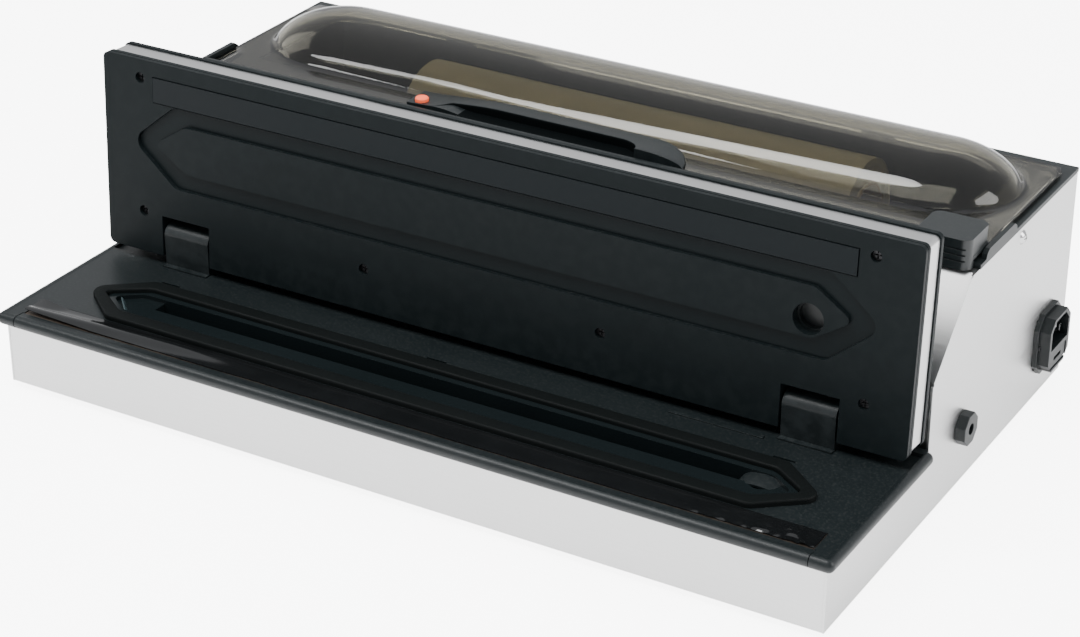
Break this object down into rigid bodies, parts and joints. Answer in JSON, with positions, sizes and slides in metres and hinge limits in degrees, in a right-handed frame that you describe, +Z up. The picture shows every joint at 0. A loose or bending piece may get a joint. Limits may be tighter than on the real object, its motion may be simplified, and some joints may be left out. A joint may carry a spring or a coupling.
{
  "type": "vacuum sealer",
  "caption": "Countertop vacuum sealer: steel body, hinged sealing lid over a gasketed bed, bag-roll compartment under a clear cover with a sliding cutter.",
  "frame": {"origin": "middle of the footprint, on the surface under the feet", "axes": "+X to the right along the lid, +Y to the back, +Z up"},
  "size_m": [0.5035, 0.3104, 0.1649],
  "materials": {
    "brushed_steel": "brushed, satin",
    "zinc_steel": "zinc-plated",
    "black_plastic": "satin moulded, fine texture",
    "black_fittings": "smooth satin",
    "rubber": "matte",
    "foam": "closed-cell foam, matte",
    "silicone": "satin",
    "tape": "glossy woven tape",
    "bar_core": "moulded phenolic",
    "smoked_clear": "clear smoked, glossy",
    "pin_steel": "bright",
    "screw_steel": "bright",
    "dark_screws": "blackened",
    "orange_plastic": "satin",
    "button_plastic": "satin metallised",
    "light_lens": "clear tinted",
    "cardboard": "paper board, matte",
    "bag_film": "embossed film",
    "circuit_green": "solder mask",
    "core_steel": "varnished laminations",
    "copper": "enamelled wire",
    "pump_metal": "cast",
    "rotor_metal": "wound",
    "valve_body": "satin"
  },
  "bodies": {
    "chassis": {"base_plate": "brushed_steel", "front_panel": "brushed_steel", "left_side_panel": "brushed_steel", "right_side_panel": "brushed_steel", "rear_panel": "brushed_steel", "fascia_panel": "brushed_steel", "pump_bracket": "zinc_steel", "sealing_bed": "black_plastic", "bed_front_strip": "black_plastic", "hinge_blocks": "black_plastic", "deck_frame": "black_plastic", "roll_well": "black_plastic", "vacuum_intake": "black_plastic", "power_inlet": "black_fittings", "accessory_port": "black_fittings", "fan_frame": "black_fittings", "control_panel": "black_fittings", "feet": "rubber", "vacuum_hose": "rubber", "accessory_hose": "rubber", "bed_gasket": "foam", "seal_tape": "tape", "seal_bar": "bar_core", "heating_wires": "pin_steel", "inlet_pins": "pin_steel", "case_screws": "screw_steel", "indicator_lights": "light_lens", "circuit_board": "circuit_green", "key_board": "circuit_green", "transformer_core": "core_steel", "transformer_coil": "copper", "pump_housing": "pump_metal", "vent_valve": "valve_body"},
    "lid": {"lid_inner_plate": "black_plastic", "lid_band": "brushed_steel", "lid_outer_plate": "black_plastic", "lid_seal_strip": "silicone", "lid_screws": "dark_screws", "lid_port_cup": "black_fittings", "lid_hinge_pins": "pin_steel"},
    "cover": {"roll_cover": "smoked_clear", "cover_handle": "black_plastic", "cutter_rail": "black_plastic", "cover_hinge_pins": "pin_steel"},
    "cutter": {"cutter_slider": "black_plastic", "cutter_blade": "pin_steel"},
    "cover_button": {"cover_button": "orange_plastic"},
    "start_button": {"start_button": "button_plastic"},
    "seal_button": {"seal_button": "button_plastic"},
    "pulse_button": {"pulse_button": "button_plastic"},
    "stop_button": {"stop_button": "button_plastic"},
    "tray": {"drip_tray": "black_plastic"},
    "fuse_drawer": {"fuse_drawer": "black_fittings"},
    "roll": {"roll_core": "cardboard", "bag_roll": "bag_film"},
    "pump_rotor": {"pump_rotor": "rotor_metal"},
    "fan_rotor": {"fan_rotor": "black_fittings"},
    "valve_plunger": {"valve_plunger": "pin_steel"}
  },
  "joints": [
    {"name": "lid_hinge", "type": "hinge", "parent": "chassis", "child": "lid", "pos_m": [0, -0.0488, 0.05845], "axis": [1, 0, 0], "range_deg": [0, 93.2]},
    {"name": "cover_hinge", "type": "hinge", "parent": "chassis", "child": "cover", "pos_m": [0, 0.15025, 0.121], "axis": [-1, 0, 0], "range_deg": [0, 85]},
    {"name": "cutter_slide", "type": "slide", "parent": "cover", "child": "cutter", "axis": [-1, 0, 0], "range_m": [0, 0.43]},
    {"name": "cover_button_press", "type": "slide", "parent": "cover", "child": "cover_button", "axis": [0, 0, -1], "range_m": [0, 0.0015], "stiffness_N_per_m": 400},
    {"name": "start_press", "type": "slide", "parent": "chassis", "child": "start_button", "axis": [0, 0.7071, -0.7071], "range_m": [0, 0.0015], "stiffness_N_per_m": 400},
    {"name": "seal_press", "type": "slide", "parent": "chassis", "child": "seal_button", "axis": [0, 0.7071, -0.7071], "range_m": [0, 0.0015], "stiffness_N_per_m": 400},
    {"name": "pulse_press", "type": "slide", "parent": "chassis", "child": "pulse_button", "axis": [0, 0.7071, -0.7071], "range_m": [0, 0.0015], "stiffness_N_per_m": 400},
    {"name": "stop_press", "type": "slide", "parent": "chassis", "child": "stop_button", "axis": [0, 0.7071, -0.7071], "range_m": [0, 0.0015], "stiffness_N_per_m": 400},
    {"name": "tray_lift", "type": "slide", "parent": "chassis", "child": "tray", "axis": [0, 0, 1], "range_m": [0, 0.06]},
    {"name": "fuse_slide", "type": "slide", "parent": "chassis", "child": "fuse_drawer", "axis": [1, 0, 0], "range_m": [0, 0.018]},
    {"name": "roll_spin", "type": "hinge", "parent": "chassis", "child": "roll", "pos_m": [0.009, 0.09935, 0.0963], "axis": [1, 0, 0], "continuous": true},
    {"name": "pump_spin", "type": "hinge", "parent": "chassis", "child": "pump_rotor", "pos_m": [0.05, 0.00845, 0.038], "axis": [1, 0, 0], "continuous": true},
    {"name": "fan_spin", "type": "hinge", "parent": "chassis", "child": "fan_rotor", "pos_m": [-0.15, 0.15025, 0.034], "axis": [0, 1, 0], "continuous": true},
    {"name": "valve_press", "type": "slide", "parent": "chassis", "child": "valve_plunger", "axis": [0, 0, -1], "range_m": [0, 0.002], "stiffness_N_per_m": 400}
  ]
}
